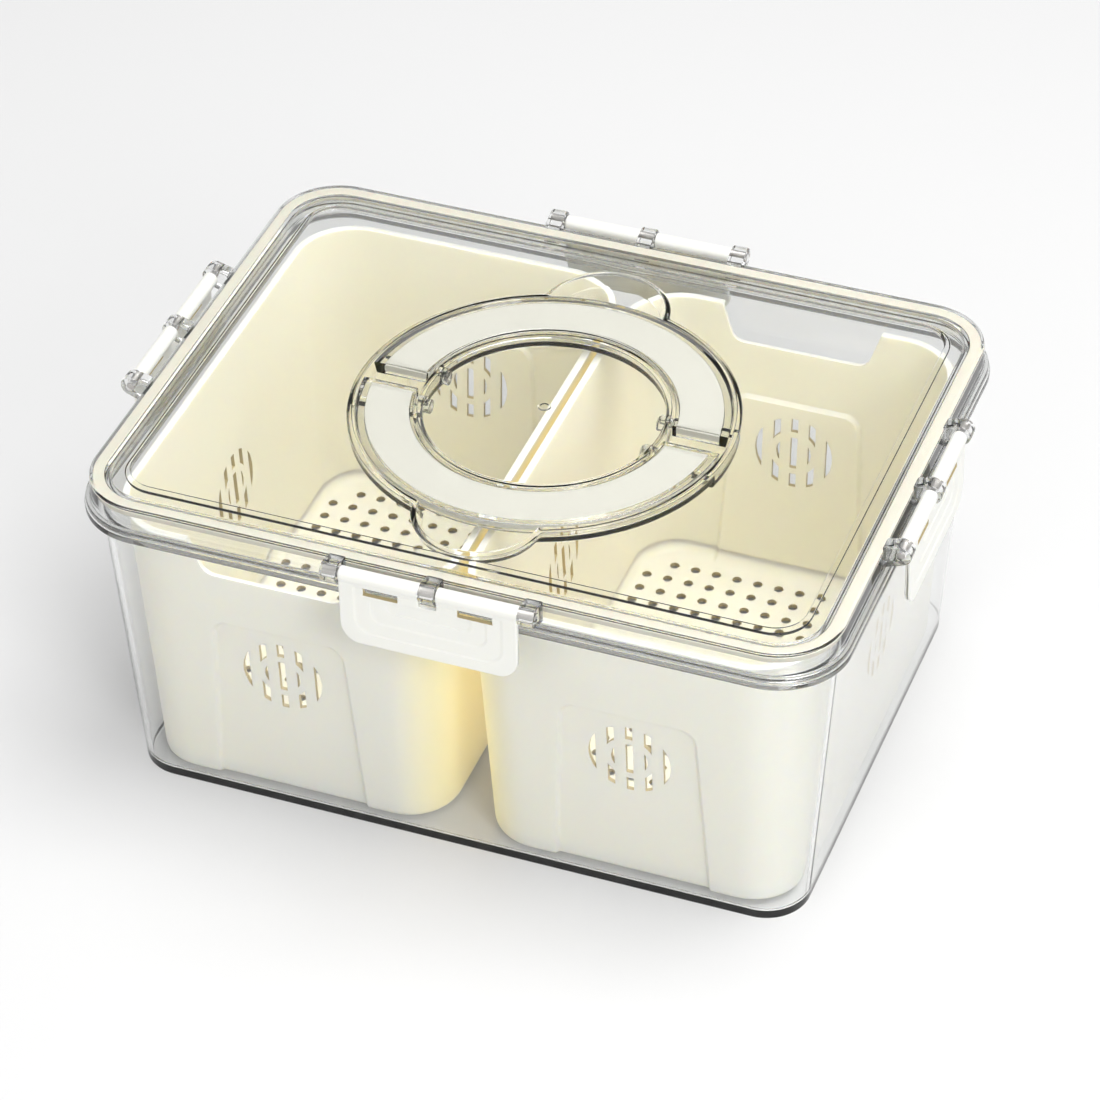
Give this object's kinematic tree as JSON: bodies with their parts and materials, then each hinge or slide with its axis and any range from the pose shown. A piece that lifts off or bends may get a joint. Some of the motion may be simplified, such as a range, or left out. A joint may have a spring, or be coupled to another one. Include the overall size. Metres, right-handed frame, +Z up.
{
  "type": "divided fridge storage box",
  "caption": "Clear lidded fridge storage box with draining cream baskets side by side, a seal, snap latches on every side and a folding ring handle in the lid.",
  "frame": {"origin": "middle of the base, on the surface that the box stands on", "axes": "+X along the long side to the right, +Y to the back, +Z up"},
  "size_m": [0.3216, 0.2492, 0.1452],
  "materials": {
    "clear_plastic": "clear polished plastic",
    "seal_rubber": "soft white seal",
    "basket_cream": "cream plastic with a soft gloss, a little translucent",
    "latch_white": "warm white plastic with a soft gloss",
    "band_cream": "cream plastic",
    "pin_steel": "drawn steel rod"
  },
  "bodies": {
    "box": {"outer_box": "clear_plastic"},
    "lid": {"lid": "clear_plastic", "lid_gasket": "seal_rubber", "latch_pin_front": "pin_steel", "latch_pin_back": "pin_steel", "latch_pin_left": "pin_steel", "latch_pin_right": "pin_steel"},
    "basket_left": {"basket_left": "basket_cream"},
    "basket_right": {"basket_right": "basket_cream"},
    "latch_front": {"latch_front": "latch_white"},
    "latch_back": {"latch_back": "latch_white"},
    "latch_left": {"latch_left": "latch_white"},
    "latch_right": {"latch_right": "latch_white"},
    "handle_front": {"handle_front": "clear_plastic", "handle_band_front": "band_cream"},
    "handle_back": {"handle_back": "clear_plastic", "handle_band_back": "band_cream"}
  },
  "joints": [
    {"name": "lid_lift", "type": "slide", "parent": "box", "child": "lid", "axis": [0, 0, 1], "range_m": [0, 0.155]},
    {"name": "basket_left_lift", "type": "slide", "parent": "box", "child": "basket_left", "axis": [0, 0, 1], "range_m": [0, 0.14]},
    {"name": "basket_right_lift", "type": "slide", "parent": "box", "child": "basket_right", "axis": [0, 0, 1], "range_m": [0, 0.14]},
    {"name": "latch_front_swing", "type": "hinge", "parent": "lid", "child": "latch_front", "pos_m": [0, -0.12045, 0.141], "axis": [-1, 0, 0], "range_deg": [0, 135]},
    {"name": "latch_back_swing", "type": "hinge", "parent": "lid", "child": "latch_back", "pos_m": [0, 0.12045, 0.141], "axis": [1, 0, 0], "range_deg": [0, 135]},
    {"name": "latch_left_swing", "type": "hinge", "parent": "lid", "child": "latch_left", "pos_m": [-0.1566, 0, 0.141], "axis": [0, 1, 0], "range_deg": [0, 135]},
    {"name": "latch_right_swing", "type": "hinge", "parent": "lid", "child": "latch_right", "pos_m": [0.1566, 0, 0.141], "axis": [0, -1, 0], "range_deg": [0, 135]},
    {"name": "handle_front_swing", "type": "hinge", "parent": "lid", "child": "handle_front", "pos_m": [0, -0.0098, 0.1384], "axis": [-1, 0, 0], "range_deg": [0, 95]},
    {"name": "handle_back_swing", "type": "hinge", "parent": "lid", "child": "handle_back", "pos_m": [0, 0.0098, 0.1384], "axis": [1, 0, 0], "range_deg": [0, 95]}
  ],
  "couplings": [
    {"joint": "basket_left_lift", "follows": "lid_lift", "ratio": 0.9},
    {"joint": "basket_right_lift", "follows": "lid_lift", "ratio": 0.9}
  ]
}
